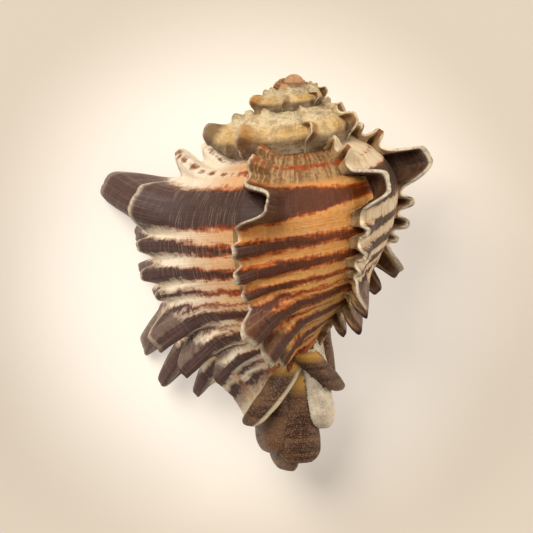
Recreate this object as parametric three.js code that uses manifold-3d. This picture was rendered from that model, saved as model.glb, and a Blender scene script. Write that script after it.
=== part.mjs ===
// A murex shell: one right-handed spiral shell with strong spiny ridges (varices), lying on its opening.
// Millimetres, +Z up. The spire points to +Y, the siphonal canal to -Y, the back of the shell to +Z.
import * as THREE from "three";
import Module from "manifold-3d";

const wasm = await Module();
wasm.setup();
const Manifold = wasm.Manifold;

// ---- Driving dimensions ----
const WHORL_GROWTH = 1.9; // every size grows by this factor in one whorl
const LIP_AZIMUTH = -114; // degrees round the axis from the middle of the back, positive to the right
const LAST_VARICES = [0, 40, 90, 146, 204, 262, 318, 372]; // degrees back from the lip, unevenly spaced
const SLANT = 16; // degrees by which the lip lags behind near the canal
const VARIX_STEP = 55.4; // degrees between the older varices
const VARIX_COUNT = 19; // varices built from the lip back to the first whorl
const APEX_RADIUS = 3.1; // the rounded first whorl
const REST_TURN = 1.6; // the turn, lean towards the spire and roll at which the shell lies still, in degrees
const REST_LEAN = 8.3;
const REST_ROLL = 0.6;
const WORN = 0.3; // depth worn off the spine tips it rests on
const APEX_WEAR = 3; // the spiral's own starting point lies this far above the worn apex
const WALL = 1.5; // thickness of the sheet that makes a spine
const FLANGE = 2.6; // height of the low ridge between the spines
const FLANGE_RUN = 17; // degrees over which the ridge rises
const SPINE_RUN = 26; // degrees over which a spine rises from the whorl
const HOLLOW = 12; // degrees by which the hollow front reaches under a full spine
const FRONT = 4; // degrees by which the front of a varix slopes forward between the spines
const SUTURE_U = 34.5; // the next whorl covers the profile from here on
const LAST_FULL_VARIX = 10; // older whorls than this are hidden below the suture
const TOLERANCE = 0.1; // the surface may move by this much when small facets are merged
const TUCK = 1.2; // how far each growth step is sunk into its neighbour

// The last whorl's outline from the suture to the canal: distance from the axis, distance below the apex.
const OUTLINE = [
  [21.6, 29],
  [30, 32.6],
  [37, 38.8],
  [41.2, 46.5],
  [41.6, 54],
  [40, 63.5],
  [36, 73],
  [29.5, 81.5],
  [22, 88.5],
  [15.5, 95],
  [11, 102],
  [5, 105],
];

// Spines along the lip: place on the outline, half width, length, rise in degrees, lean back, upward curl.
const SPINES = [
  { at: 2.5, half: 2.4, long: 4.0, rise: 40, lean: 0.0, curl: 10 },
  { at: 10.0, half: 2.6, long: 5.0, rise: 38, lean: 0.1, curl: 10 },
  { at: 23.5, half: 7.0, long: 8.5, rise: 24, lean: 0.4, curl: 8 },
  { at: 37.5, half: 2.6, long: 5.0, rise: 5, lean: 0.0, curl: 0 },
  { at: 45.5, half: 2.6, long: 5.0, rise: -5, lean: 0.0, curl: 0 },
  { at: 52.0, half: 1.9, long: 3.0, rise: -12, lean: 0.0, curl: 0 },
  { at: 56.5, half: 1.7, long: 2.2, rise: -20, lean: 0.0, curl: 0 },
  { at: 60.5, half: 3.7, long: 11.0, rise: -38, lean: 0.0, curl: -8 },
  { at: 69.5, half: 3.7, long: 11.0, rise: -44, lean: 0.0, curl: -8 },
  { at: 78.5, half: 2.8, long: 6.0, rise: -52, lean: 0.0, curl: -8 },
];
const SHOULDER = 2; // place of the large shoulder spine in the list above

// The shoulder spine differs from varix to varix, from the lip backwards: length, rise, lean back, flanks.
const SHOULDER_SPINES = [
  [18, 8, 0.1, 0.8],
  [9, 10, 0.3, 0.8],
  [11, 4, 1.25, 1.6],
  [10, 12, 0.7, 1.2],
  [14, 10, 0.3, 0.8],
];
// Share of the other spines' lengths, and how much nearer the suture those below the shoulder sit.
const VIGOUR = [1.2, 0.95, 1, 1, 1, 0.9, 0.8, 0.45];
const LIFT = [4, 2.5, 0];
const LIFTED_FROM = 3; // place of the first spine below the shoulder in the list above
const BLUNT = 6; // the higher, the squarer a spine's tip
const FLANKS = 0.8; // how far a spine's two sides curl forward, which makes it a gutter

// Each varix left the tip of its siphonal canal as a thick scale.
// Azimuth, radius and depth where it leaves the whorl, the same for its tip, then width and thickness.
const CANAL_ENDS = [
  [-110, 6.5, 80, -60, 2.5, 113.5, 15, 9],
  [-60, 5, 78, -70, 7.0, 108.0, 16, 10],
  [-10, 5, 84, 20, 6.5, 110.5, 12.5, 8],
  [40, 5, 74, 62, 10.0, 100.5, 10, 8],
  [110, 4, 60, 110, 10.5, 91.0, 11, 7],
  [165, 3, 52, 160, 9.5, 80.0, 10, 7],
  [-4, 7, 80, -54, 15.5, 99.0, 8.5, 6.5],
  [15, 8, 78, 78, 13.0, 90.0, 9.0, 7],
];
const CANAL_RINGS = 4;
const CANAL_SIDES = 8;

// The living chamber. Its inner side, distance from the axis and below the apex, from the canal up to the suture.
const CHAMBER_INNER = [
  [9, 92],
  [8, 82],
  [8, 70],
  [8, 58],
  [13, 47],
  [17, 37],
  [19.5, 31.5],
];
const CHAMBER_OUTER_FROM = 7;
const CHAMBER_OUTER_TO = 86;
const CHAMBER_OUTER_POINTS = 9;
const CHAMBER_AHEAD = -14;
const CHAMBER_END = 245;
const CHAMBER_RINGS = 11;
const SHELL_WALL = 2.4;

// ---- The outline as a smooth curve, walked by its length ----
function smoothCurve(points, steps) {
  const first = [2 * points[0][0] - points[1][0], 2 * points[0][1] - points[1][1]];
  const n = points.length;
  const last = [2 * points[n - 1][0] - points[n - 2][0], 2 * points[n - 1][1] - points[n - 2][1]];
  const all = [first, ...points, last];
  const out = [];
  for (let i = 1; i < all.length - 2; i++) {
    for (let j = 0; j < steps; j++) {
      const t = j / steps;
      const weights = [
        -t + 2 * t * t - t * t * t,
        2 - 5 * t * t + 3 * t * t * t,
        t + 4 * t * t - 3 * t * t * t,
        -t * t + t * t * t,
      ];
      const p = [0, 0];
      for (let m = 0; m < 4; m++) {
        p[0] += 0.5 * weights[m] * all[i - 1 + m][0];
        p[1] += 0.5 * weights[m] * all[i - 1 + m][1];
      }
      out.push(p);
    }
  }
  out.push(points[n - 1]);
  return out;
}

const CURVE = smoothCurve(OUTLINE, 16);
const CURVE_U = [0];
for (let i = 1; i < CURVE.length; i++) {
  CURVE_U.push(CURVE_U[i - 1] + Math.hypot(CURVE[i][0] - CURVE[i - 1][0], CURVE[i][1] - CURVE[i - 1][1]));
}
const U_END = CURVE_U[CURVE_U.length - 1];

function outline(u) {
  const w = Math.min(Math.max(u, 0), U_END);
  let i = 1;
  while (CURVE_U[i] < w && i < CURVE.length - 1) {
    i++;
  }
  const t = (w - CURVE_U[i - 1]) / (CURVE_U[i] - CURVE_U[i - 1]);
  return [
    CURVE[i - 1][0] + t * (CURVE[i][0] - CURVE[i - 1][0]),
    CURVE[i - 1][1] + t * (CURVE[i][1] - CURVE[i - 1][1]),
  ];
}

function outward(u) {
  const a = outline(u - 0.6);
  const b = outline(u + 0.6);
  const length = Math.hypot(b[0] - a[0], b[1] - a[1]);
  return [(b[1] - a[1]) / length, -(b[0] - a[0]) / length];
}

const clamp = (x, low, high) => Math.min(Math.max(x, low), high);
const smooth = (x) => {
  const t = clamp(x, 0, 1);
  return t * t * (3 - 2 * t);
};
const bump = (x) => Math.exp(-Math.pow(Math.abs(x), BLUNT));

// ---- Growth ----
const sizeAt = (age) => Math.pow(WHORL_GROWTH, -age / 360);

function ageOf(varix) {
  if (varix < LAST_VARICES.length) {
    return LAST_VARICES[varix];
  }
  return LAST_VARICES[LAST_VARICES.length - 1] + (varix - LAST_VARICES.length + 1) * VARIX_STEP;
}

// How much of a lip feature survives on an older varix: below the suture the next whorl covers it.
function shown(u, varix) {
  if (ageOf(varix) < 330) {
    return 1;
  }
  return 1 - smooth((u - SUTURE_U + 2) / 4);
}

// The lip's reach beyond the plain whorl, as [outwards, down, forwards], and the pinch of the outline.
function reach(u, varix, behind, wall) {
  const ridge = 1 - smooth(behind / FLANGE_RUN);
  const keep = shown(u, varix);
  const flange = Math.max(FLANGE - wall, 0) * ridge * ridge * keep;
  const normal = outward(u);
  const total = [flange * normal[0], flange * normal[1], 0];
  let pinch = 0;
  let most = 0;
  const raise = Math.pow(clamp(1 - behind / SPINE_RUN, 0, 1), 1.8);
  for (let i = 0; i < SPINES.length; i++) {
    const spine = { ...SPINES[i], flanks: FLANKS };
    if (i === SHOULDER && varix < SHOULDER_SPINES.length) {
      [spine.long, spine.rise, spine.lean, spine.flanks] = SHOULDER_SPINES[varix];
    } else if (i !== SHOULDER) {
      spine.long *= VIGOUR[Math.min(varix, VIGOUR.length - 1)];
    }
    if (i >= LIFTED_FROM) {
      spine.at -= LIFT[Math.min(varix, LIFT.length - 1)];
    }
    const half = spine.half - 0.75 * wall;
    if (half < 0.5) {
      continue;
    }
    const x = (u - spine.at) / half;
    const share = bump(x) * raise;
    const amount = (spine.long - wall) * share * keep;
    if (amount < 0.02) {
      continue;
    }
    const angle = ((spine.rise + spine.curl * share) * Math.PI) / 180;
    total[0] += amount * Math.cos(angle);
    total[1] -= amount * Math.sin(angle);
    total[2] -= amount * spine.lean;
    total[2] += spine.long * spine.flanks * share * (1 - bump(x));
    pinch += (spine.at - u) * 0.15 * share * keep;
    most = Math.max(most, clamp(spine.long / 9, 0, 1.2) * bump(x) * keep);
  }
  return { total, pinch, most };
}

// A point of the shell in its own frame: axis up Z, apex at the origin, the back towards -Y.
function place(u, age, push) {
  const size = sizeAt(age);
  const point = outline(u);
  const radius = size * (point[0] + push[0]);
  const depth = size * (point[1] + push[1]);
  const lag = SLANT * smooth((u - 46) / 38);
  const angle = ((LIP_AZIMUTH + age + lag) * Math.PI) / 180;
  const ahead = size * push[2];
  return [
    radius * Math.sin(angle) - ahead * Math.cos(angle),
    -radius * Math.cos(angle) - ahead * Math.sin(angle),
    APEX_WEAR - depth,
  ];
}

const COARSE_LINES = [0, 6, 10, 16, 20.5, 26.5, 32, 46]; // enough for the small first whorls
const COARSE_FROM = 480; // age in degrees

// ---- Lines along the whorl: close together on the spines, wide apart between them ----
function spiralLines(last, coarse) {
  if (coarse) {
    return [...COARSE_LINES];
  }
  const wanted = [0];
  for (const spine of SPINES) {
    const offsets = spine.long > 8 ? [-1.4, -0.95, -0.5, 0.5, 0.95, 1.4] : [-1.25, 0, 1.25];
    for (const x of offsets) {
      wanted.push(spine.at + x * spine.half);
    }
  }
  wanted.push(last);
  wanted.sort((a, b) => a - b);
  const lines = [];
  for (const u of wanted) {
    if (u < 0 || u > last) {
      continue;
    }
    const before = lines[lines.length - 1];
    if (lines.length && u - before < 1.3) {
      continue;
    }
    lines.push(u);
  }
  lines[lines.length - 1] = last;
  return lines;
}

const CORE_LINES = [0, 8, 16, 24, 32, 40, 50, 60, 70, 80, 90];
const CORE_STEPS = 4;
const CORE_DEPTH = 2.2;

// ---- One growth step: from just in front of an older varix to the free edge of the next one ----
const OUTER_STEPS = [0, 0.3, 0.55, 0.75, 0.9, 1];
const INNER_STEPS = [0, 0.6, 1];
const OLD_OUTER_STEPS = [0, 0.45, 0.75, 1];
const OLD_INNER_STEPS = [0, 1];

function hollowReach(u, varix) {
  const spine = smooth(reach(u, varix, 0, WALL).most * 1.3);
  return HOLLOW * spine - FRONT * (1 - spine) * smooth((U_END - u) / 20) * shown(u, varix);
}

function growthStep(varix) {
  const last = varix < LAST_FULL_VARIX ? U_END : SUTURE_U + 12;
  const lines = spiralLines(last, ageOf(varix) > COARSE_FROM);
  const young = ageOf(varix);
  const old = ageOf(varix + 1);
  const outerSteps = young < 360 ? OUTER_STEPS : OLD_OUTER_STEPS;
  const innerSteps = young < 360 ? INNER_STEPS : OLD_INNER_STEPS;
  const rows = [];
  const sunk = (u) => {
    const normal = outward(u);
    return [-TUCK * 2 * normal[0], -TUCK * 2 * normal[1], 0];
  };
  rows.push(lines.map((u) => place(u, old + hollowReach(u, varix + 1) + 2.5, sunk(u))));
  for (const t of outerSteps) {
    rows.push(
      lines.map((u) => {
        const start = old + hollowReach(u, varix + 1);
        const age = start + (young - start) * t;
        const lip = reach(u, varix, age - young, 0);
        return place(u + lip.pinch, age, lip.total);
      }),
    );
  }
  for (const q of innerSteps) {
    rows.push(
      lines.map((u) => {
        const age = young + hollowReach(u, varix) * q;
        const lip = reach(u, varix, age - young, WALL);
        const fall = 1 - Math.pow(q, 1.5);
        const back = 1 - Math.pow(q, 3);
        const push = [lip.total[0] * fall, lip.total[1] * fall, lip.total[2] * back];
        return place(u + lip.pinch * back, age, push);
      }),
    );
  }
  rows.push(lines.map((u) => place(u, young + hollowReach(u, varix), sunk(u))));

  return closedToAxis(rows, sizeAt(young) * 55);
}

// A plain piece of whorl just below the surface, which fills the joints between the growth steps.
function core(from, to, last) {
  const lines = CORE_LINES.filter((u) => u < last);
  lines.push(last);
  const rows = [];
  for (let i = 0; i <= CORE_STEPS; i++) {
    const age = to + ((from - to) * i) / CORE_STEPS;
    rows.push(
      lines.map((u) => {
        const normal = outward(u);
        return place(u, age, [-CORE_DEPTH * normal[0], -CORE_DEPTH * normal[1], 0]);
      }),
    );
  }
  return closedToAxis(rows, sizeAt(from) * 55);
}

// Close a sheet of points (rows from old to young) to a point on the axis, so it becomes a solid wedge.
function closedToAxis(rows, depth) {
  const positions = [];
  const triangles = [];
  const count = rows[0].length;
  for (const row of rows) {
    for (const p of row) {
      positions.push(...p);
    }
  }
  for (let r = 0; r + 1 < rows.length; r++) {
    for (let c = 0; c + 1 < count; c++) {
      const a = r * count + c;
      const b = a + count;
      triangles.push(a, b, a + 1);
      triangles.push(a + 1, b, b + 1);
    }
  }
  const middle = positions.length / 3;
  positions.push(0, 0, APEX_WEAR - depth);
  const loop = [];
  for (let c = 0; c < count; c++) {
    loop.push(c);
  }
  for (let r = 1; r < rows.length; r++) {
    loop.push(r * count + count - 1);
  }
  for (let c = count - 2; c >= 0; c--) {
    loop.push((rows.length - 1) * count + c);
  }
  for (let r = rows.length - 2; r >= 1; r--) {
    loop.push(r * count);
  }
  for (let i = 0; i < loop.length; i++) {
    triangles.push(loop[i], loop[(i + 1) % loop.length], middle);
  }
  return solid(positions, triangles);
}

function solid(positions, triangles) {
  const mesh = new wasm.Mesh({
    numProp: 3,
    vertProperties: new Float32Array(positions),
    triVerts: new Uint32Array(triangles),
  });
  const made = new Manifold(mesh);
  if (made.volume() < 0) {
    throw new Error("a piece is inside out");
  }
  return made;
}

// ---- Canal ends ----

function canalEnd([startTurn, startOut, startDown, tipTurn, tipOut, tipDown, width, thick]) {
  const positions = [];
  const triangles = [];
  const ringAt = (t, share) => {
    const angle = ((startTurn + (tipTurn - startTurn) * t) * Math.PI) / 180;
    const out = [Math.sin(angle), -Math.cos(angle)];
    const side = [Math.cos(angle), Math.sin(angle)];
    const radius = startOut + (tipOut - startOut) * Math.pow(t, 0.8);
    const depth = startDown + (tipDown - startDown) * t;
    for (let i = 0; i < CANAL_SIDES; i++) {
      const turn = (2 * Math.PI * i) / CANAL_SIDES;
      const across = 0.5 * width * share * Math.cos(turn);
      const through = 0.5 * thick * share * Math.sin(turn);
      positions.push(
        out[0] * (radius + through) + side[0] * across,
        out[1] * (radius + through) + side[1] * across,
        -depth,
      );
    }
  };
  for (let r = 0; r <= CANAL_RINGS; r++) {
    const t = r / CANAL_RINGS;
    ringAt(t, r === CANAL_RINGS ? 0.55 : 1.05 - 0.2 * t * t);
  }
  for (let r = 0; r < CANAL_RINGS; r++) {
    for (let i = 0; i < CANAL_SIDES; i++) {
      const a = r * CANAL_SIDES + i;
      const b = r * CANAL_SIDES + ((i + 1) % CANAL_SIDES);
      triangles.push(a, b, a + CANAL_SIDES);
      triangles.push(b, b + CANAL_SIDES, a + CANAL_SIDES);
    }
  }
  const top = CANAL_RINGS * CANAL_SIDES;
  for (let i = 1; i + 1 < CANAL_SIDES; i++) {
    triangles.push(0, i + 1, i);
    triangles.push(top, top + i, top + i + 1);
  }
  return solid(positions, triangles);
}

// ---- The living chamber: a tapering hollow from the opening back round the axis ----

function chamber() {
  const section = [];
  for (let i = 0; i < CHAMBER_OUTER_POINTS; i++) {
    const share = i / (CHAMBER_OUTER_POINTS - 1);
    const u = CHAMBER_OUTER_FROM + (CHAMBER_OUTER_TO - CHAMBER_OUTER_FROM) * share;
    const point = outline(u);
    const normal = outward(u);
    section.push([point[0] - SHELL_WALL * normal[0], point[1] - SHELL_WALL * normal[1]]);
  }
  section.push(...CHAMBER_INNER);
  const middle = [22, 52];
  const positions = [];
  const triangles = [];
  for (let r = 0; r <= CHAMBER_RINGS; r++) {
    const age = CHAMBER_AHEAD + ((CHAMBER_END - CHAMBER_AHEAD) * r) / CHAMBER_RINGS;
    const back = clamp((age - 120) / (CHAMBER_END - 120), 0, 1);
    const share = 1 - 0.75 * back * back;
    for (const [out, down] of section) {
      const size = sizeAt(age);
      const radius = size * (middle[0] + (out - middle[0]) * share);
      const depth = size * (middle[1] + (down - middle[1]) * share);
      const angle = ((LIP_AZIMUTH + age) * Math.PI) / 180;
      positions.push(radius * Math.sin(angle), -radius * Math.cos(angle), APEX_WEAR - depth);
    }
  }
  const count = section.length;
  for (let r = 0; r < CHAMBER_RINGS; r++) {
    for (let c = 0; c < count; c++) {
      const a = r * count + c;
      const b = r * count + ((c + 1) % count);
      triangles.push(a, b, a + count);
      triangles.push(b, b + count, a + count);
    }
  }
  for (const r of [0, CHAMBER_RINGS]) {
    const size = sizeAt(CHAMBER_AHEAD + ((CHAMBER_END - CHAMBER_AHEAD) * r) / CHAMBER_RINGS);
    const age = r === 0 ? CHAMBER_AHEAD : CHAMBER_END;
    const angle = ((LIP_AZIMUTH + age) * Math.PI) / 180;
    const radius = size * middle[0];
    const centre = positions.length / 3;
    positions.push(radius * Math.sin(angle), -radius * Math.cos(angle), APEX_WEAR - size * middle[1]);
    for (let c = 0; c < count; c++) {
      const a = r * count + c;
      const b = r * count + ((c + 1) % count);
      if (r === 0) {
        triangles.push(b, a, centre);
      } else {
        triangles.push(a, b, centre);
      }
    }
  }
  return solid(positions, triangles);
}

// ---- Put the pieces together ----
function outerBody(made) {
  const bodies = made.decompose();
  bodies.sort((a, b) => b.volume() - a.volume());
  return bodies[0];
}

let young = growthStep(0).add(core(HOLLOW + 2, LAST_VARICES[1], U_END));
let old = null;
for (let varix = 1; varix < VARIX_COUNT; varix++) {
  const last = varix < LAST_FULL_VARIX ? U_END : SUTURE_U + 12;
  const step = growthStep(varix).add(core(ageOf(varix) - 25, ageOf(varix + 1) - 5, last));
  if (ageOf(varix) < 360) {
    young = young.add(step);
  } else {
    old = old ? old.add(step) : step;
  }
}
let shell = young.subtract(chamber()).add(old);
for (const end of CANAL_ENDS) {
  shell = shell.add(canalEnd(end));
}
const apex = Manifold.sphere(APEX_RADIUS, 10).translate([0, 0, -APEX_RADIUS]);
shell = outerBody(shell.add(apex).simplify(TOLERANCE));

// ---- Lay it down: the back of the shell up, resting on the lip's spines and the spines across from it ----
shell = shell.rotate([0, 0, -REST_TURN]).rotate([REST_LEAN - 90, 0, 0]).rotate([0, REST_ROLL, 0]);
const box = shell.boundingBox();
shell = shell.translate([
  -(box.min[0] + box.max[0]) / 2,
  -(box.min[1] + box.max[1]) / 2,
  -box.min[2] - WORN,
]);
shell = outerBody(shell.trimByPlane([0, 0, 1], 0));

const result = shell.getMesh();
const geometry = new THREE.BufferGeometry();
geometry.setAttribute("position", new THREE.BufferAttribute(result.vertProperties, 3));
geometry.setIndex(new THREE.BufferAttribute(result.triVerts, 1));
const mesh = new THREE.Mesh(geometry, new THREE.MeshStandardMaterial({ color: 0xd9c3a0 }));
mesh.name = "shell";
const root = new THREE.Group();
root.add(mesh);
export default root;
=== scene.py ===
import math

import bpy
import numpy as np
from mathutils import Matrix, Vector, noise
from mathutils.kdtree import KDTree


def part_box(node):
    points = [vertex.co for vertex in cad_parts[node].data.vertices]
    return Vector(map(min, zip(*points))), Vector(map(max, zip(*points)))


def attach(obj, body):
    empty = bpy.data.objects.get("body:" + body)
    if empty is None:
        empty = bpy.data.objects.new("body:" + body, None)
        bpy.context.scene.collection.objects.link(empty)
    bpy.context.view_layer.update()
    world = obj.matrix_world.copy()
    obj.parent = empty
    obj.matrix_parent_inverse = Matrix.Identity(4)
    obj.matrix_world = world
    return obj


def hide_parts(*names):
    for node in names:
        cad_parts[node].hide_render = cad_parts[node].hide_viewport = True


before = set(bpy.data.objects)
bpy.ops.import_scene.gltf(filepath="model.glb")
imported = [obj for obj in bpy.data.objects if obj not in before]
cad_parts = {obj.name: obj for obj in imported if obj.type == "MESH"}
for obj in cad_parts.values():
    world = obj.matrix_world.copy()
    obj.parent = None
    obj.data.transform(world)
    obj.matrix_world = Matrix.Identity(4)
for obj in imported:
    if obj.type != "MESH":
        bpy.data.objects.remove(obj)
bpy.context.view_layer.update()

# ---- Driving dimensions, in millimetres and degrees ----
# They are the solid model's, but for a thinner wall and one more varix.
WHORL_GROWTH = 1.9  # every size grows by this factor in one whorl
LIP_AZIMUTH = -114.0  # degrees round the axis from the middle of the back, positive to the right
LAST_VARICES = [0, 40, 90, 146, 204, 262, 318, 372]  # degrees back from the lip
SLANT = 16.0  # degrees by which the lip lags behind near the canal
VARIX_STEP = 55.4  # degrees between the older varices
VARIX_COUNT = 20  # varices counted from the lip back to the first whorl
APEX_RADIUS = 3.1  # the rounded first whorl
REST_TURN = 1.6  # turn, lean towards the spire and roll at which the shell lies still, in degrees
REST_LEAN = 8.3
REST_ROLL = 0.6
WORN = 0.3  # depth worn off the tips that it rests on
APEX_WEAR = 3.0  # the spiral's own starting point lies this far above the worn apex
WALL = 1.3  # thickness of the sheet that makes a spine
FLANGE = 2.6  # height of the low ridge between the spines
FLANGE_RUN = 17.0  # degrees over which the ridge rises
SPINE_RUN = 26.0  # degrees over which a spine rises from the whorl
HOLLOW = 12.0  # degrees by which the hollow front reaches under a full spine
FRONT = 4.0  # degrees by which the front of a varix slopes forward between the spines
SUTURE_U = 34.5  # the next whorl covers the profile from here on
LAST_FULL_VARIX = 10  # older whorls than this are hidden below the suture
TUCK = 2.4  # how far each growth step is sunk into its neighbour
CORE_DEPTH = 2.2  # how far the solid inside of a whorl lies below its surface
SPIRE_AGE = 330  # degrees back from the lip; only the part above the suture shows from here on
OLD_BODY_AGE = 360  # steps older than this are joined apart from the hollow last whorl
COARSE_AGE = 620  # the smallest whorls have a coarser grid from here on

# The last whorl's outline from the suture to the canal: distance from the axis, distance below the apex.
OUTLINE = [
    (21.6, 29.0),
    (30.0, 32.6),
    (37.0, 38.8),
    (41.2, 46.5),
    (41.6, 54.0),
    (40.0, 63.5),
    (36.0, 73.0),
    (29.5, 81.5),
    (22.0, 88.5),
    (15.5, 95.0),
    (11.0, 102.0),
    (5.0, 105.0),
]

# Spines along the lip: place on the outline, half width, length, rise in degrees, lean back, upward curl.
SPINES = [
    (2.5, 2.4, 4.0, 40, 0.0, 10),
    (10.0, 2.6, 5.0, 38, 0.1, 10),
    (23.5, 7.0, 8.5, 24, 0.4, 8),
    (37.5, 2.6, 5.0, 5, 0.0, 0),
    (45.5, 2.6, 5.0, -5, 0.0, 0),
    (52.0, 1.9, 3.0, -12, 0.0, 0),
    (56.5, 1.7, 2.2, -20, 0.0, 0),
    (60.5, 3.7, 11.0, -38, 0.0, -8),
    (69.5, 3.7, 11.0, -44, 0.0, -8),
    (78.5, 2.8, 6.0, -52, 0.0, -8),
]
SHOULDER = 2  # place of the large shoulder spine in the list above

# The shoulder spine differs from varix to varix, from the lip backwards: length, rise, lean back, flanks.
SHOULDER_SPINES = [
    (18, 8, 0.1, 0.8),
    (9, 10, 0.3, 0.8),
    (11, 4, 1.25, 1.6),
    (10, 12, 0.7, 1.2),
    (14, 10, 0.3, 0.8),
]
# Share of the other spines' lengths, and how much nearer the suture those below the shoulder sit.
VIGOUR = [1.2, 0.95, 1, 1, 1, 0.9, 0.8, 0.45]
LIFT = [4, 2.5, 0]
LIFTED_FROM = 3  # place of the first spine below the shoulder in the list above
BLUNT = 6  # the higher, the squarer a spine's tip
FLANKS = 0.8  # how far a spine's two sides curl forward, which makes it a gutter

# Each varix left the tip of its siphonal canal as a thick scale.
# Azimuth, radius and depth where it leaves the whorl, the same for its tip, then width and thickness.
CANAL_ENDS = [
    (-110, 6.5, 80, -60, 2.5, 113.5, 15, 9),
    (-60, 5, 78, -70, 7.0, 108.0, 16, 10),
    (-10, 5, 84, 20, 6.5, 110.5, 12.5, 8),
    (40, 5, 74, 62, 10.0, 100.5, 10, 8),
    (110, 4, 60, 110, 10.5, 91.0, 11, 7),
    (165, 3, 52, 160, 9.5, 80.0, 10, 7),
    (-4, 7, 80, -54, 15.5, 99.0, 8.5, 6.5),
    (15, 8, 78, 78, 13.0, 90.0, 9.0, 7),
]

# The living chamber: its inner side from the canal to the suture, distance from the axis and below the apex;
# the stretch of the outline that it follows, the ages between which it runs, and the wall outside it.
CHAMBER_INNER = [(9, 92), (8, 82), (8, 70), (8, 58), (13, 47), (17, 37), (19.5, 31.5)]
CHAMBER_OUTER = (7, 86)
CHAMBER_AHEAD = -14.0
CHAMBER_END = 245.0
SHELL_WALL = 2.4


def smooth_curve(points, steps):
    p = np.array(points, float)
    p = np.vstack([2 * p[0] - p[1], p, 2 * p[-1] - p[-2]])
    out = []
    for i in range(1, len(p) - 2):
        t = np.linspace(0, 1, steps, endpoint=False)[:, None]
        a, b, c, d = p[i - 1], p[i], p[i + 1], p[i + 2]
        out.append(
            0.5
            * (2 * b + (c - a) * t + (2 * a - 5 * b + 4 * c - d) * t**2 + (3 * b - a - 3 * c + d) * t**3)
        )
    out.append(p[-2:-1])
    return np.vstack(out)


CURVE = smooth_curve(OUTLINE, 16)
CURVE_U = np.concatenate([[0.0], np.cumsum(np.linalg.norm(np.diff(CURVE, axis=0), axis=1))])
U_END = CURVE_U[-1]


def outline(u):
    return np.stack([np.interp(u, CURVE_U, CURVE[:, 0]), np.interp(u, CURVE_U, CURVE[:, 1])], -1)


def outward(u):
    d = outline(u + 0.6) - outline(u - 0.6)
    d /= np.linalg.norm(d, axis=-1, keepdims=True)
    return np.stack([d[..., 1], -d[..., 0]], -1)


def smooth(x):
    t = np.clip(x, 0, 1)
    return t * t * (3 - 2 * t)


def bump(x):
    return np.exp(-np.abs(x) ** BLUNT)


def size_at(age):
    return WHORL_GROWTH ** (-np.asarray(age, float) / 360)


def age_of(varix):
    if varix < len(LAST_VARICES):
        return LAST_VARICES[varix]
    return LAST_VARICES[-1] + (varix - len(LAST_VARICES) + 1) * VARIX_STEP


def shown(u, varix):
    if age_of(varix) < SPIRE_AGE:
        return np.ones_like(u)
    return 1 - smooth((u - SUTURE_U + 2) / 4)


def wave(seed, x, y=0.0, z=0.0):
    """Smooth noise from -1 to 1 over arrays."""
    x, y, z = np.broadcast_arrays(np.asarray(x, float), y, z)
    flat = [
        noise.noise((a + 31.7 * seed, b - 17.3 * seed, c + 5.1 * seed))
        for a, b, c in zip(x.ravel(), y.ravel(), z.ravel())
    ]
    return np.array(flat).reshape(x.shape)


def reach(u, varix, behind, wall):
    """The lip's reach beyond the plain whorl, the pinch of the outline, and the spine's share."""
    ridge = 1 - smooth(behind / FLANGE_RUN)
    keep = shown(u, varix)
    flange = max(FLANGE - wall, 0) * ridge * ridge * keep
    normal = outward(u)
    total = np.stack([flange * normal[..., 0], flange * normal[..., 1], np.zeros_like(flange)], -1)
    pinch = np.zeros_like(flange)
    most = np.zeros_like(flange)
    raised = np.clip(1 - behind / SPINE_RUN, 0, 1) ** 1.8
    for i, (at, half, long, rise, lean, curl) in enumerate(SPINES):
        flanks = FLANKS
        if i == SHOULDER and varix < len(SHOULDER_SPINES):
            long, rise, lean, flanks = SHOULDER_SPINES[varix]
        elif i != SHOULDER:
            long *= VIGOUR[min(varix, len(VIGOUR) - 1)]
        if i >= LIFTED_FROM:
            at -= LIFT[min(varix, len(LIFT) - 1)]
        half = half - 0.75 * wall
        if half < 0.5:
            continue
        body = bump((u - at) / half)
        share = body * raised
        amount = (long - wall) * share * keep
        angle = np.radians(rise + curl * share)
        total[..., 0] += amount * np.cos(angle)
        total[..., 1] -= amount * np.sin(angle)
        total[..., 2] += -amount * lean + long * flanks * share * (1 - body) * keep
        pinch += (at - u) * 0.15 * share * keep
        most = np.maximum(most, min(long / 9, 1.2) * body * keep)
    return total, pinch, most


def place(u, age, push):
    size = size_at(age)
    point = outline(u)
    radius = size * (point[..., 0] + push[..., 0])
    depth = size * (point[..., 1] + push[..., 1])
    angle = np.radians(LIP_AZIMUTH + age + SLANT * smooth((u - 46) / 38))
    ahead = size * push[..., 2]
    return np.stack(
        [
            radius * np.sin(angle) - ahead * np.cos(angle),
            -radius * np.cos(angle) - ahead * np.sin(angle),
            APEX_WEAR - depth,
        ],
        -1,
    )


# ---- The grid: lines along the whorl and rows across each growth step ----
def spiral_lines(last, gap):
    """Lines close together on the spines' flanks and wider apart between them."""
    lines = [0.0]
    flanks = [(at, half) for at, half, *_ in SPINES]
    while lines[-1] < last:
        u = lines[-1]
        near = min(abs(abs(u - at) / half - 0.9) for at, half in flanks)
        lines.append(u + gap * (0.55 + 0.75 * min(near, 1.0)))
    lines[-1] = last
    return np.array(lines)


def hollow_reach(u, varix):
    spine = smooth(reach(u, varix, np.zeros_like(u), WALL)[2] * 1.3)
    return HOLLOW * spine - FRONT * (1 - spine) * smooth((U_END - u) / 20) * shown(u, varix)


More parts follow.
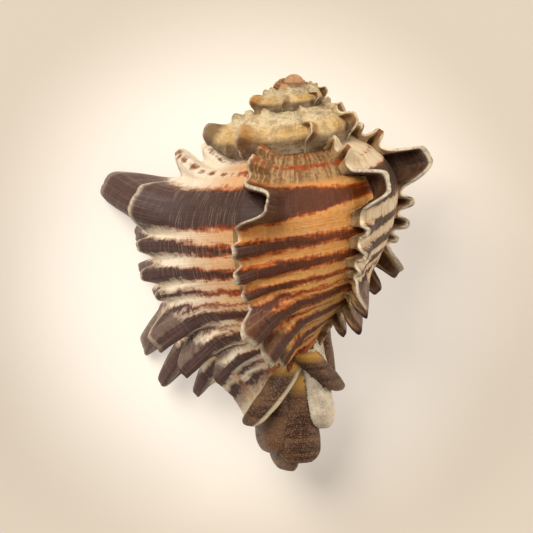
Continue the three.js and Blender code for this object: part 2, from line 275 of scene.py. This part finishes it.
def relief(u, age, t, varix):
    """Height of the fine relief in millimetres of the last whorl: cords, growth lines and wear."""
    cord = np.zeros_like(u)
    for i, (at, half, long, *_) in enumerate(SPINES):
        if i >= LIFTED_FROM:
            at -= LIFT[min(varix, len(LIFT) - 1)]
        cord += min(long, 9) * 0.07 * bump((u - at) / (half * 1.15))
    cord += 0.05 * np.cos(2 * np.pi * u / 1.9)
    growth = 0.22 * wave(3, age / 2.2, u / 14) + 0.14 * wave(4, age / 0.9, u / 9)
    worn = 0.25 + 0.45 * smooth((np.asarray(age, float) - SPIRE_AGE) / 30)
    rough = worn * wave(5, age / 9, u / 5) + 0.5 * worn * wave(6, age / 4, u / 2.4)
    return cord * (0.35 + 0.65 * t) + growth * (0.5 + 0.8 * t) + rough


def growth_step(varix, gap, outer_rows, inner_rows):
    last = U_END if varix < LAST_FULL_VARIX else SUTURE_U + 12
    lines = spiral_lines(last, gap)
    young, old = age_of(varix), age_of(varix + 1)
    rows, marks = [], []
    normal = outward(lines)
    sunk = np.concatenate([-TUCK * normal, np.zeros((len(lines), 1))], -1)
    start = old + hollow_reach(lines, varix + 1)
    zero = np.zeros_like(lines)

    def keep(points, age, t, spine, inner):
        rows.append(points)
        age = np.minimum(age, old - 1.0)
        marks.append(np.stack([lines, age + zero, t + zero, spine + zero, inner + zero, zero], -1))

    keep(place(lines, start + 2.5, sunk), start + 2.5, 0, 0, 0)
    for t in np.linspace(0, 1, outer_rows) ** 0.75:
        age = start + (young - start) * t
        total, pinch, most = reach(lines, varix, age - young, 0)
        edge = smooth((t - 0.8) / 0.2)
        wobble = 0.35 * edge * wave(7, lines / 2.2, varix * 3.1)
        high = relief(lines, age, t, varix)
        total[:, :2] += (high + wobble)[:, None] * normal
        total[:, 2] += 0.5 * edge * wave(8, lines / 1.6, varix * 2.3)
        spine = np.linalg.norm(total[:, :2], axis=1) / 9
        keep(place(lines + pinch, age, total), age, t, spine, 0)
    for q in np.linspace(0, 1, inner_rows):
        age = young + hollow_reach(lines, varix) * q
        total, pinch, most = reach(lines, varix, age - young, WALL)
        left = 1 - q**3
        total[:, :2] *= 1 - q**1.5
        total[:, 2] *= left
        total[:, :2] += (0.2 * left * wave(9, lines / 2.0, q * 3, varix))[:, None] * normal
        spine = np.linalg.norm(total[:, :2], axis=1) / 9
        keep(place(lines + pinch * left, age, total), age, 1, spine, 1)
    keep(place(lines, young + hollow_reach(lines, varix), sunk), young, 1, 0, 1)
    return closed_to_axis(np.array(rows), np.array(marks), size_at(young) * 55)


def core(young, old, last):
    lines = np.append(np.arange(0, last - 3, 8.0), last)
    normal = outward(lines)
    push = np.concatenate([-CORE_DEPTH * normal, np.zeros((len(lines), 1))], -1)
    rows = [place(lines, age, push) for age in np.linspace(old, young, 6)]
    marks = np.zeros((6, len(lines), 6))
    marks[..., 0] = lines
    marks[..., 1] = np.linspace(old, young, 6)[:, None]
    return closed_to_axis(np.array(rows), marks, size_at(young) * 55)


def closed_to_axis(rows, marks, depth):
    """A sheet of rows, closed to a point on the axis: points, faces and marks."""
    r, c = rows.shape[:2]
    points = np.vstack([rows.reshape(-1, 3), [[0, 0, APEX_WEAR - depth]]])
    index = np.arange(r * c).reshape(r, c)
    quads = np.stack([index[:-1, :-1], index[1:, :-1], index[1:, 1:], index[:-1, 1:]], -1).reshape(-1, 4)
    loop = list(index[0, :]) + list(index[1:, -1]) + list(index[-1, -2::-1]) + list(index[-2:0:-1, 0])
    middle = len(points) - 1
    fans = [[loop[i], loop[(i + 1) % len(loop)], middle] for i in range(len(loop))]
    marks = np.vstack([marks.reshape(-1, marks.shape[-1]), [[50, 0, 0, 0, 1, 0]]])
    return points, quads.tolist() + fans, marks


# ---- The living chamber ----
def closed_tube(rings, marks):
    """Rings of points, capped at both ends with a fan."""
    rings = np.array(rings)
    marks = np.array(marks)
    marks = np.vstack([marks.reshape(-1, 6), marks[0].mean(0), marks[-1].mean(0)])
    n, m = rings.shape[:2]
    points = np.vstack([rings.reshape(-1, 3), rings[0].mean(0), rings[-1].mean(0)])
    index = np.arange(n * m).reshape(n, m)
    turned = np.roll(index, -1, axis=1)
    quads = np.stack([index[:-1], turned[:-1], turned[1:], index[1:]], -1).reshape(-1, 4).tolist()
    a, b = n * m, n * m + 1
    fans = [[turned[0, i], index[0, i], a] for i in range(m)]
    fans += [[index[-1, i], turned[-1, i], b] for i in range(m)]
    return points, quads + fans, marks


def chamber():
    u = np.linspace(*CHAMBER_OUTER, 60)
    outer = outline(u) - SHELL_WALL * outward(u)
    inner = smooth_curve(CHAMBER_INNER, 6)
    section = np.vstack([outer, inner])
    middle = np.array([22.0, 52.0])
    rings, marks = [], []
    along = np.concatenate([u, np.linspace(86, 7, len(inner))])
    for age in np.linspace(CHAMBER_AHEAD, CHAMBER_END, 70):
        back = np.clip((age - 120) / (CHAMBER_END - 120), 0, 1)
        share = 1 - 0.75 * back * back
        spot = size_at(age) * (middle + (section - middle) * share)
        angle = math.radians(LIP_AZIMUTH + age)
        right = spot[:, 0] * math.sin(angle)
        forward = -spot[:, 0] * math.cos(angle)
        rings.append(np.stack([right, forward, APEX_WEAR - spot[:, 1]], -1))
        plain = np.zeros_like(along)
        marks.append(np.stack([along, age + plain, plain, plain, plain + 2, plain], -1))
    return closed_tube(rings, marks)


# ---- The canal's scales ----
def canal_end(seed, start_turn, start_out, start_down, tip_turn, tip_out, tip_down, width, thick):
    turn = np.linspace(0, 2 * math.pi, 40, endpoint=False)
    rings, marks = [], []
    plain = np.zeros_like(turn)
    for t in np.append(np.linspace(0, 1, 34), [1.0, 0.99]):
        last = len(rings) - 33
        share = (1.05 - 0.2 * t * t) * math.sqrt(max(1 - max(t - 0.86, 0) ** 2 / 0.03, 0.05))
        if last > 0:
            share *= 0.75 / last
        azimuth = start_turn + (tip_turn - start_turn) * t
        angle = math.radians(azimuth)
        out = np.array([math.sin(angle), -math.cos(angle), 0])
        side = np.array([math.cos(angle), math.sin(angle), 0])
        radius = start_out + (tip_out - start_out) * t**0.8
        rough = 0.35 * wave(20 + seed, np.cos(turn) * 1.5, np.sin(turn) * 1.5, t * 6)
        rough = rough + 0.15 * wave(30 + seed, turn * 4, t * 3)
        across = (0.5 * width * share * (0.9 + 0.25 * t) + rough) * np.cos(turn)
        through = (0.5 * thick * share * (1.1 - 0.3 * t) + rough) * np.sin(turn)
        depth = start_down + (tip_down - start_down) * t
        rings.append(
            out * (radius + through)[:, None] + side * across[:, None] - np.array([0, 0, depth])
        )
        side_share = np.cos(turn)
        across_mark = 86 + 14 * t + plain
        marks.append(
            np.stack([across_mark, azimuth + plain, t + plain, side_share, plain, 1 + seed + plain], -1)
        )
    return closed_tube(rings, marks)


# ---- Meshes and booleans ----
def lay_down():
    turn = Matrix.Rotation(math.radians(-REST_TURN), 4, "Z")
    lean = Matrix.Rotation(math.radians(REST_LEAN - 90), 4, "X")
    roll = Matrix.Rotation(math.radians(REST_ROLL), 4, "Y")
    return np.array(roll @ lean @ turn)[:3, :3]


def make_object(name, points, faces):
    mesh = bpy.data.meshes.new(name)
    mesh.from_pydata(points.tolist(), [], faces)
    mesh.validate()
    made = bpy.data.objects.new(name, mesh)
    bpy.context.scene.collection.objects.link(made)
    return made


def combine(base, other, operation):
    """Boolean of two closed pieces; the second one is used up."""
    step = base.modifiers.new("join", "BOOLEAN")
    step.operation = operation
    step.solver = "MANIFOLD"
    step.object = other
    evaluated = base.evaluated_get(bpy.context.evaluated_depsgraph_get())
    mesh = bpy.data.meshes.new_from_object(evaluated)
    base.modifiers.clear()
    old = base.data
    base.data = mesh
    bpy.data.meshes.remove(old)
    spare = other.data
    bpy.data.objects.remove(other)
    bpy.data.meshes.remove(spare)
    return base


def volume(points, faces):
    total = 0.0
    for face in faces:
        a = points[face[0]]
        for i in range(1, len(face) - 1):
            total += np.dot(a, np.cross(points[face[i]], points[face[i + 1]]))
    return total / 6


grids = []


def piece(name, made):
    points, faces, marks = made
    grids.append((points, marks))
    if volume(points, faces) < 0:
        faces = [f[::-1] for f in faces]
    return make_object(name, points, faces)


def apex_cap():
    rings, marks = [], []
    turn = np.linspace(0, 2 * math.pi, 32, endpoint=False)
    plain = np.zeros_like(turn)
    for lift in np.linspace(0.1, math.pi - 0.1, 16):
        out = APEX_RADIUS * math.sin(lift)
        high = APEX_RADIUS * (math.cos(lift) - 1)
        rings.append(np.stack([out * np.cos(turn), out * np.sin(turn), high + plain], -1))
        across_mark = 10 + 2 * np.cos(3 * turn)
        marks.append(np.stack([across_mark, 1200 + plain, plain + 0.5, plain, plain, plain], -1))
    return closed_tube(rings, marks)


def apex_fill():
    """A plug below the first whorl, so that no gap opens beside it."""
    rings, marks = [], []
    turn = np.linspace(0, 2 * math.pi, 24, endpoint=False)
    plain = np.zeros_like(turn)
    for depth, out in ((1.6, 2.0), (2.6, 3.6), (5.0, 4.6), (9.0, 5.4)):
        rings.append(np.stack([out * np.cos(turn), out * np.sin(turn), -depth + plain], -1))
        marks.append(np.stack([12 + plain, 1100 + plain, plain + 0.5, plain, plain, plain], -1))
    return closed_tube(rings, marks)


def build_shell():
    young = piece("young", growth_step(0, 0.75, 34, 9))
    young = combine(young, piece("core", core(HOLLOW + 2, LAST_VARICES[1], U_END)), "UNION")
    old = None
    for varix in range(1, VARIX_COUNT):
        age = age_of(varix)
        last = U_END if varix < LAST_FULL_VARIX else SUTURE_U + 12
        if age < SPIRE_AGE:
            step = growth_step(varix, 0.75, 34, 9)
        elif age < COARSE_AGE:
            step = growth_step(varix, 1.0, 22, 6)
        else:
            step = growth_step(varix, 1.6, 14, 5)
        step = piece("step", step)
        fill = piece("core", core(age - 25, age_of(varix + 1) - 5, last))
        step = combine(step, fill, "UNION")
        if age < OLD_BODY_AGE:
            young = combine(young, step, "UNION")
        elif old is None:
            old = step
        else:
            old = combine(old, step, "UNION")
    young = combine(young, piece("chamber", chamber()), "DIFFERENCE")
    shell = combine(young, old, "UNION")
    shell = combine(shell, piece("apex", apex_cap()), "UNION")
    shell = combine(shell, piece("apex", apex_fill()), "UNION")
    for i, end in enumerate(CANAL_ENDS):
        shell = combine(shell, piece("canal", canal_end(i, *end)), "UNION")
    return shell


shell = build_shell()
NAMES = ("across", "age", "step", "spine", "inner", "canal")


def mark_shell(shell):
    """Give each vertex the marks of the nearest grid point."""
    points = np.vstack([g[0] for g in grids])
    marks = np.vstack([g[1] for g in grids])
    tree = KDTree(len(points))
    for i, p in enumerate(points):
        tree.insert(p, i)
    tree.balance()
    mesh = shell.data
    nearest = [tree.find(v.co)[1] for v in mesh.vertices]
    marks = marks[nearest]
    for i, name in enumerate(NAMES):
        layer = mesh.attributes.new(name, "FLOAT", "POINT")
        layer.data.foreach_set("value", marks[:, i].astype(np.float32))
    return marks


marks = mark_shell(shell)

# ---- Into the frame: laid on its opening, in metres ----
turned = lay_down()
mesh = shell.data
spots = np.empty(len(mesh.vertices) * 3)
mesh.vertices.foreach_get("co", spots)
spots = spots.reshape(-1, 3) @ turned.T
low, high = spots.min(0), spots.max(0)
cad_low, cad_high = (np.array(corner) * 1000 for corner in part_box("shell"))
shift = (cad_low + cad_high) / 2 - (low + high) / 2
shift[2] = -low[2] - WORN
spots += shift
spots[:, 2] = np.maximum(spots[:, 2], 0)
mesh.vertices.foreach_set("co", (spots / 1000).ravel())
mesh.polygons.foreach_set("use_smooth", [True] * len(mesh.polygons))
mesh.update()
shell.name = "shell_looks"
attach(shell, "root")
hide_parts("shell")

# ---- Material ----
def srgb(r, g, b):
    """A display colour as the linear numbers the shader wants."""
    return tuple(((c / 255 + 0.055) / 1.055) ** 2.4 if c > 10 else c / 3295 for c in (r, g, b)) + (1.0,)


class Shader:
    """A few short words for building a material out of nodes."""

    def __init__(self, name):
        self.material = bpy.data.materials.new(name)
        self.material.use_nodes = True
        self.nodes = self.material.node_tree.nodes
        self.links = self.material.node_tree.links
        self.bsdf = self.nodes["Principled BSDF"]

    def put(self, socket, value):
        if isinstance(value, bpy.types.NodeSocket):
            self.links.new(value, socket)
        else:
            socket.default_value = value

    def math(self, operation, a, b=0.0, c=0.0, clamp=False):
        node = self.nodes.new("ShaderNodeMath")
        node.operation = operation
        node.use_clamp = clamp
        for socket, value in zip(node.inputs, (a, b, c)):
            self.put(socket, value)
        return node.outputs[0]

    def add(self, a, b):
        return self.math("ADD", a, b)

    def sub(self, a, b):
        return self.math("SUBTRACT", a, b)

    def mul(self, a, b):
        return self.math("MULTIPLY", a, b)

    def most(self, a, b):
        return self.math("MAXIMUM", a, b)

    def less(self, a):
        return self.sub(1.0, a)

    def ramp(self, value, low, high, to_low=0.0, to_high=1.0):
        node = self.nodes.new("ShaderNodeMapRange")
        node.interpolation_type = "SMOOTHSTEP"
        for socket, v in zip(node.inputs, (value, low, high, to_low, to_high)):
            self.put(socket, v)
        return node.outputs[0]

    def window(self, value, low, high, soft):
        """One between low and high, falling to nothing over the soft margin."""
        return self.mul(
            self.ramp(value, low - soft, low + soft), self.ramp(value, high - soft, high + soft, 1.0, 0.0)
        )

    def mark(self, name):
        node = self.nodes.new("ShaderNodeAttribute")
        node.attribute_name = name
        return node.outputs["Fac"]

    def vector(self, x, y, z=0.0):
        node = self.nodes.new("ShaderNodeCombineXYZ")
        for socket, value in zip(node.inputs, (x, y, z)):
            self.put(socket, value)
        return node.outputs[0]

    def noise(self, where, scale, detail=3.0, rough=0.55):
        """Noise spread out from nothing to one."""
        node = self.nodes.new("ShaderNodeTexNoise")
        node.inputs["Scale"].default_value = scale
        node.inputs["Detail"].default_value = detail
        node.inputs["Roughness"].default_value = rough
        self.links.new(where, node.inputs["Vector"])
        return self.ramp(node.outputs[0], 0.28, 0.72)

    def mix(self, share, a, b):
        node = self.nodes.new("ShaderNodeMix")
        node.data_type = "RGBA"
        self.put(node.inputs[0], share)
        self.put(node.inputs[6], a)
        self.put(node.inputs[7], b)
        return node.outputs[2]

    def curve(self, value, points):
        """A line through the points; both numbers of each lie between nothing and one."""
        node = self.nodes.new("ShaderNodeFloatCurve")
        line = node.mapping.curves[0]
        line.points[0].location = points[0]
        line.points[1].location = points[-1]
        for point in points[1:-1]:
            line.points.new(*point)
        for point in line.points:
            point.handle_type = "VECTOR"
        node.mapping.update()
        self.put(node.inputs["Value"], value)
        return node.outputs[0]


# Bands along the whorl: middle on the outline and half width at the varix, in millimetres.
BANDS = [
    (2.5, 0.9),
    (10.0, 1.3),
    (15.3, 0.35),
    (23.5, 7.2),
    (37.5, 2.3),
    (45.5, 2.4),
    (52.0, 1.3),
    (56.3, 0.9),
    (60.5, 2.3),
    (65.0, 0.6),
    (69.5, 2.3),
    (74.0, 0.6),
    (78.5, 1.8),
    (83.5, 0.8),
    (87.5, 0.8),
]
CURVE_SPAN = 110.0
FIELD_LOW = 4.0
FIELD_SPAN = 12.0


def band_points():
    """The signed distance to the nearest band's edge as a curve: positive inside a band."""
    points = [(0.0, 0.0)]
    last = 0.0
    for middle, half in BANDS:
        gap = (middle - half - last) / 2
        points.append((last + gap, -gap))
        points.append((middle, half))
        last = middle + half
    points.append((CURVE_SPAN, -FIELD_LOW))
    return [(u / CURVE_SPAN, (max(f, -FIELD_LOW) + FIELD_LOW) / FIELD_SPAN) for u, f in points]


CREAM = srgb(232, 212, 172)
WHITE = srgb(245, 236, 216)
AMBER = srgb(212, 134, 30)
HONEY = srgb(236, 178, 78)
ORANGE = srgb(166, 66, 4)
CHOCOLATE = srgb(54, 26, 12)
PURPLE = srgb(74, 49, 47)
OLIVE = srgb(138, 106, 60)
TAN = srgb(168, 128, 84)
MOTTLE = srgb(98, 66, 44)
PORCELAIN = srgb(246, 236, 222)

m = Shader("murex_shell")
across, age, step = m.mark("across"), m.mark("age"), m.mark("step")
spine, inner, canal = m.mark("spine"), m.mark("inner"), m.mark("canal")
coordinates = m.nodes.new("ShaderNodeTexCoord").outputs["Object"]
scaled = m.nodes.new("ShaderNodeVectorMath")
scaled.operation = "SCALE"
m.links.new(coordinates, scaled.inputs[0])
scaled.inputs["Scale"].default_value = 1000.0
millimetres = scaled.outputs[0]

blotch = m.noise(millimetres, 0.12, 4.0)
grain = m.noise(millimetres, 0.9, 4.0, 0.65)
speck = m.noise(millimetres, 2.6, 3.0, 0.7)
growth = m.noise(m.vector(m.mul(age, 0.55), m.mul(across, 0.05)), 1.0, 4.0, 0.65)
streak = m.noise(m.vector(m.mul(age, 1.5), m.mul(across, 0.09), 7.0), 1.0, 3.0, 0.6)
along = m.noise(m.vector(m.mul(age, 0.11), m.mul(across, 0.5), 3.0), 1.0, 3.0, 0.5)
striation = m.noise(m.vector(m.mul(age, 0.03), m.mul(across, 1.7), 5.0), 1.0, 3.0, 0.6)
dashes = m.noise(m.vector(m.mul(age, 0.4), m.mul(across, 0.15), 11.0), 1.0, 1.0)

is_inner = m.window(inner, 0.5, 1.5, 0.2)
is_chamber = m.ramp(inner, 1.3, 1.7)
is_canal = m.ramp(canal, 0.2, 0.6)
is_old = m.ramp(age, 322.0, 345.0)
middle_panel = m.window(age, 89.6, 145.6, 0.4)
left_panel = m.window(age, -20.0, 89.6, 0.4)
late = m.ramp(step, 0.1, 0.9)
is_right = m.ramp(age, 145.6, 146.4)

# where the bands lie, with ragged edges, wider at the varix than at its older end
wander = m.mul(m.sub(m.add(along, m.mul(growth, 0.6)), 0.8), 1.3)
lift = m.add(m.ramp(age, 90.0, 40.0, 0.0, LIFT[1]), m.ramp(age, 40.0, 0.0, 0.0, LIFT[0] - LIFT[1]))
lift = m.mul(lift, m.ramp(across, 28.0, 33.0))
place_on = m.mul(m.add(m.add(across, lift), wander), 1 / CURVE_SPAN)
field = m.sub(m.mul(m.curve(place_on, band_points()), FIELD_SPAN), FIELD_LOW)
narrow = m.mul(m.less(late), m.ramp(across, 31.0, 36.0, 0.2, 0.75))
taper = m.mul(m.mul(middle_panel, m.less(step)), m.mul(m.window(across, 16.0, 31.0, 3.0), 5.5))
upper = m.mul(m.ramp(across, 16.5, 14.5), m.add(0.2, m.mul(dashes, 1.8)))
edge = m.sub(m.sub(m.sub(field, narrow), taper), upper)
edge = m.add(edge, m.mul(m.sub(grain, 0.5), 0.5))
dark = m.ramp(edge, 0.0, 0.55)
rim = m.ramp(edge, -1.0, 0.1)

# the ground between the bands, with an amber that is partly the shell's own colour and partly painted glow
# of light shining through the shell
warm = m.add(m.mul(middle_panel, 0.95), m.mul(left_panel, m.ramp(step, 0.8, 0.1, 0.12, 0.78)))
warm = m.most(warm, m.mul(m.less(is_old), 0.16))
ground = m.mix(m.add(m.mul(blotch, 0.4), m.mul(left_panel, 0.5)), CREAM, WHITE)
amber_and_painted_glow = m.mix(m.ramp(across, 40.0, 66.0), AMBER, m.mix(blotch, HONEY, AMBER))
ground = m.mix(m.mul(warm, m.add(0.8, m.mul(grain, 0.2))), ground, amber_and_painted_glow)
patches = m.ramp(m.add(m.mul(growth, 0.6), m.mul(grain, 0.4)), 0.28, 0.8)
shoulder_ground = m.mix(patches, srgb(104, 70, 38), srgb(176, 142, 98))
ground = m.mix(m.mul(m.ramp(across, 19.0, 15.0), m.mul(middle_panel, 0.9)), ground, shoulder_ground)
ground = m.mix(m.mul(m.ramp(growth, 0.5, 0.9), m.add(0.12, m.mul(is_right, 0.35))), ground, TAN)

# the bands: an orange rim, then chocolate, greyer and purpler on the youngest part
rust = m.mix(m.mul(left_panel, m.mul(late, 0.8)), ORANGE, MOTTLE)
rusty = m.most(middle_panel, m.mul(left_panel, m.less(m.mul(late, 0.5))))
rust_share = m.mul(rim, m.add(0.3, m.mul(rusty, 0.6)))
colour = m.mix(rust_share, ground, rust)
brown = m.mix(m.mul(left_panel, m.mul(late, 0.85)), CHOCOLATE, PURPLE)
brown = m.mix(m.ramp(across, 18.0, 15.0), brown, m.mix(dashes, srgb(132, 70, 24), srgb(176, 104, 44)))
brown = m.mix(m.mul(m.ramp(edge, 1.6, 0.3), m.mul(m.less(late), 0.6)), brown, ORANGE)
brown = m.mix(m.mul(middle_panel, m.add(0.2, m.mul(m.less(late), 0.35))), brown, srgb(118, 54, 8))
brown = m.mix(m.mul(m.ramp(streak, 0.45, 1.0), 0.14), brown, OLIVE)
colour = m.mix(m.mul(dark, 0.97), colour, brown)
colour = m.mix(m.mul(m.ramp(streak, 0.6, 1.0), m.mul(left_panel, 0.1)), colour, WHITE)

# the spire: a rough whitish crust with amber on its knobs, and brown in its hollows that is partly a stain
# and partly painted shade
patches = m.ramp(m.add(m.mul(along, 0.5), m.mul(blotch, 0.5)), 0.4, 0.85)
crust = m.mix(m.mul(patches, 0.5), srgb(244, 220, 172), srgb(156, 104, 52))
crust = m.mix(m.mul(m.ramp(grain, 0.5, 0.95), 0.5), crust, srgb(252, 240, 212))
crust = m.mix(m.mul(m.window(across, 16.0, 29.0, 4.0), m.add(0.25, m.mul(blotch, 0.45))), crust, HONEY)
knob = m.mix(m.ramp(age, 392.0, 404.0), m.mix(grain, CHOCOLATE, PURPLE), m.mix(blotch, TAN, AMBER))
crust = m.mix(m.mul(m.ramp(spine, 0.2, 0.7), 0.7), crust, knob)
# darker brown towards the suture: partly a brown stain, partly painted shade in the suture's crease
crust = m.mix(m.mul(m.ramp(across, 23.5, 28.5), m.add(0.5, m.mul(blotch, 0.5))), crust, srgb(84, 50, 28))
crust = m.mix(m.mul(m.ramp(m.noise(millimetres, 0.28, 3.0), 0.55, 0.9), 0.35), crust, srgb(120, 78, 40))
crust = m.mix(m.mul(m.ramp(age, 900.0, 1150.0), m.add(0.45, m.mul(grain, 0.4))), crust, srgb(178, 104, 52))
colour = m.mix(is_old, colour, crust)
# darker towards the suture on the last whorl: partly a brown stain, partly painted shade in the suture's
# crease
suture_stain_and_shade = m.mul(m.mul(m.ramp(across, 2.6, 0.6), m.less(is_old)), m.add(0.4, m.mul(along, 0.5)))
colour = m.mix(suture_stain_and_shade, colour, CHOCOLATE)

# dark tips on the spines; their hollow fronts are mottled brown, partly their own colour and partly painted
# shade
tip = m.mul(m.ramp(m.add(spine, m.mul(grain, 0.12)), 0.42, 0.72), m.less(is_old))
tip = m.mul(tip, m.ramp(across, 12.0, 17.0))
side_tip = m.mix(m.mul(streak, 0.5), PURPLE, MOTTLE)
tip_brown = m.mix(middle_panel, side_tip, m.mix(streak, srgb(84, 46, 22), CHOCOLATE))
lined = m.mix(m.mul(m.ramp(striation, 0.5, 0.95), 0.26), tip_brown, srgb(150, 124, 112))
colour = m.mix(m.mul(tip, 0.85), colour, lined)
# painted shade in the hollow fronts under the varices, over their own mottled brown; darkest in the shoulder
# spine's cup
hollow = m.mix(m.mul(dark, 0.8), m.mix(grain, OLIVE, TAN), MOTTLE)
in_cup = m.mul(m.window(across, 15.0, 32.0, 2.0), m.ramp(blotch, 0.1, 0.7, 0.45, 0.95))
hollow = m.mix(in_cup, hollow, CHOCOLATE)
colour = m.mix(m.mul(is_inner, m.less(m.mul(is_old, 0.6))), colour, hollow)

# the lip's edge is worn white
at_edge = m.mul(m.ramp(step, 0.965, 1.0), m.less(m.ramp(inner, 0.3, 0.8)))
worn = m.mul(at_edge, m.ramp(grain, 0.0, 0.8, 0.5, 1.0))
worn_span = m.most(m.window(across, 13.0, 58.0, 3.0), m.mul(middle_panel, m.window(across, 8.0, 84.0, 3.0)))
worn = m.mul(worn, m.mul(worn_span, m.less(m.ramp(age, -10.0, 30.0, 0.75, 0.0))))
colour = m.mix(m.mul(worn, m.mul(m.less(is_canal), 0.75)), colour, srgb(252, 234, 200))

# the canal's scales: mottled brown, one of them grey white, stripes across them
scale_brown = m.mix(m.ramp(m.add(m.mul(blotch, 0.5), m.mul(along, 0.5)), 0.3, 0.7), CHOCOLATE, MOTTLE)
scale_brown = m.mix(m.mul(m.ramp(speck, 0.55, 0.95), 0.6), scale_brown, TAN)
root = m.ramp(across, 90.0, 86.5)
scale_brown = m.mix(m.mul(root, 0.7), scale_brown, HONEY)
patches = m.ramp(m.add(m.mul(speck, 0.35), m.mul(blotch, 0.65)), 0.3, 0.9, 0.0, 0.6)
pale_scale = m.mix(patches, srgb(218, 202, 176), MOTTLE)
is_pale = m.window(canal, 3.6, 4.4, 0.1)
scale = m.mix(is_pale, scale_brown, pale_scale)
rib = m.mul(m.window(canal, 6.6, 7.4, 0.1), m.ramp(m.math("ABSOLUTE", spine), 0.75, 0.95))
scale = m.mix(m.mul(rib, 0.8), scale, CREAM)
colour = m.mix(is_canal, colour, scale)

# the living chamber: smooth porcelain, tinted by the bands behind it near the lip
porcelain = m.mix(m.mul(blotch, 0.35), PORCELAIN, srgb(232, 205, 190))
porcelain = m.mix(m.mul(m.mul(dark, m.ramp(age, 12.0, -4.0)), 0.5), porcelain, TAN)
colour = m.mix(is_chamber, colour, porcelain)
m.put(m.bsdf.inputs["Base Color"], colour)

# shine and fine relief
rough = m.add(m.mul(grain, 0.22), m.add(0.34, m.mul(is_old, 0.22)))
m.put(m.bsdf.inputs["Roughness"], m.math("MINIMUM", rough, m.ramp(is_chamber, 0.0, 1.0, 0.9, 0.2)))
m.bsdf.inputs["Subsurface Weight"].default_value = 0.08
m.bsdf.inputs["Subsurface Radius"].default_value = (1.0, 0.45, 0.2)
m.bsdf.inputs["Subsurface Scale"].default_value = 0.003
m.bsdf.inputs["Specular IOR Level"].default_value = 0.3
m.bsdf.inputs["Coat Weight"].default_value = 0.06
m.bsdf.inputs["Coat Roughness"].default_value = 0.25
height = m.add(m.mul(growth, m.add(0.5, m.mul(is_right, 0.9))), m.mul(streak, 0.35))
height = m.add(height, m.mul(striation, 0.45))
height = m.add(height, m.mul(grain, m.add(0.3, m.mul(is_old, 0.9))))
height = m.add(height, m.mul(speck, m.add(0.12, m.mul(is_old, 0.35))))
height = m.mul(height, m.less(m.mul(is_chamber, 0.96)))
bump_node = m.nodes.new("ShaderNodeBump")
bump_node.inputs["Strength"].default_value = 1.0
bump_node.inputs["Distance"].default_value = 0.00022
m.links.new(height, bump_node.inputs["Height"])
m.links.new(bump_node.outputs[0], m.bsdf.inputs["Normal"])
mesh.materials.clear()
mesh.materials.append(m.material)

# ---- Floor, light and camera ----
floor_mesh = bpy.data.meshes.new("floor")
floor_mesh.from_pydata([(-3, -3, 0), (3, -3, 0), (3, 3, 0), (-3, 3, 0)], [], [(0, 1, 2, 3)])
floor = bpy.data.objects.new("floor", floor_mesh)
bpy.context.scene.collection.objects.link(floor)
f = Shader("pale_floor")
ground_spot = f.nodes.new("ShaderNodeTexCoord").outputs["Object"]
distance = f.nodes.new("ShaderNodeVectorMath")
distance.operation = "DISTANCE"
f.links.new(ground_spot, distance.inputs[0])
distance.inputs[1].default_value = (-0.004, 0.0, 0.0)
# painted glow: near the shell the floor is lighter and emits light, a painted pool of light that also lights
# the shell's lower edges from below
near = f.ramp(distance.outputs["Value"], 0.035, 0.092, 1.0, 0.0)
f.put(f.bsdf.inputs["Base Color"], f.mix(near, srgb(208, 196, 180), srgb(216, 205, 190)))
f.bsdf.inputs["Roughness"].default_value = 0.9
f.bsdf.inputs["Specular IOR Level"].default_value = 0.1
f.put(f.bsdf.inputs["Emission Color"], srgb(255, 248, 240))
f.put(f.bsdf.inputs["Emission Strength"], f.mul(near, 0.42))
floor_mesh.materials.append(f.material)

world = bpy.data.worlds.new("studio")
world.use_nodes = True
world.node_tree.nodes["Background"].inputs["Color"].default_value = (1, 0.97, 0.93, 1)
world.node_tree.nodes["Background"].inputs["Strength"].default_value = 0.4
bpy.context.scene.world = world
bpy.context.scene.view_settings.view_transform = "Standard"


def soft_sun(name, towards, strength, spread, colour):
    """A distant soft light; towards is where it stands, seen from the shell."""
    data = bpy.data.lights.new(name, "SUN")
    data.energy = strength
    data.angle = math.radians(spread)
    data.color = colour
    made = bpy.data.objects.new(name, data)
    made.rotation_euler = Vector(towards).to_track_quat("Z", "Y").to_euler()
    bpy.context.scene.collection.objects.link(made)
    return made


soft_sun("key", (-0.5, 0.6, 0.9), 2.9, 40, (1, 0.97, 0.92))
soft_sun("edge", (0.9, 0.25, 0.3), 1.5, 30, (1, 0.95, 0.88))

CAMERA_LEAN = 9.0
CAMERA_TURN = 0.0
CAMERA_DISTANCE = 700.0
VIEW_WIDTH = 150.1
VIEW_MIDDLE_RIGHT = -7.7
VIEW_MIDDLE_BELOW_APEX = 54.2
lean, spin = math.radians(CAMERA_LEAN), math.radians(CAMERA_TURN)
ahead = Vector((math.sin(spin) * math.cos(lean), math.cos(spin) * math.cos(lean), -math.sin(lean)))
right = Vector((math.cos(spin), -math.sin(spin), 0))
up = right.cross(ahead)
centre = right * VIEW_MIDDLE_RIGHT - up * VIEW_MIDDLE_BELOW_APEX
turn_matrix = Matrix(turned.tolist())
place_of = (turn_matrix @ (centre - ahead * CAMERA_DISTANCE) + Vector(shift)) / 1000
axes = Matrix((turn_matrix @ right, turn_matrix @ up, -(turn_matrix @ ahead))).transposed()
camera_data = bpy.data.cameras.new("camera")
camera_data.sensor_width = 36
camera_data.lens = 36 * CAMERA_DISTANCE / VIEW_WIDTH
camera_data.clip_end = 20
camera = bpy.data.objects.new("camera", camera_data)
camera.matrix_world = Matrix.Translation(place_of) @ axes.to_4x4()
bpy.context.scene.collection.objects.link(camera)
bpy.context.scene.camera = camera
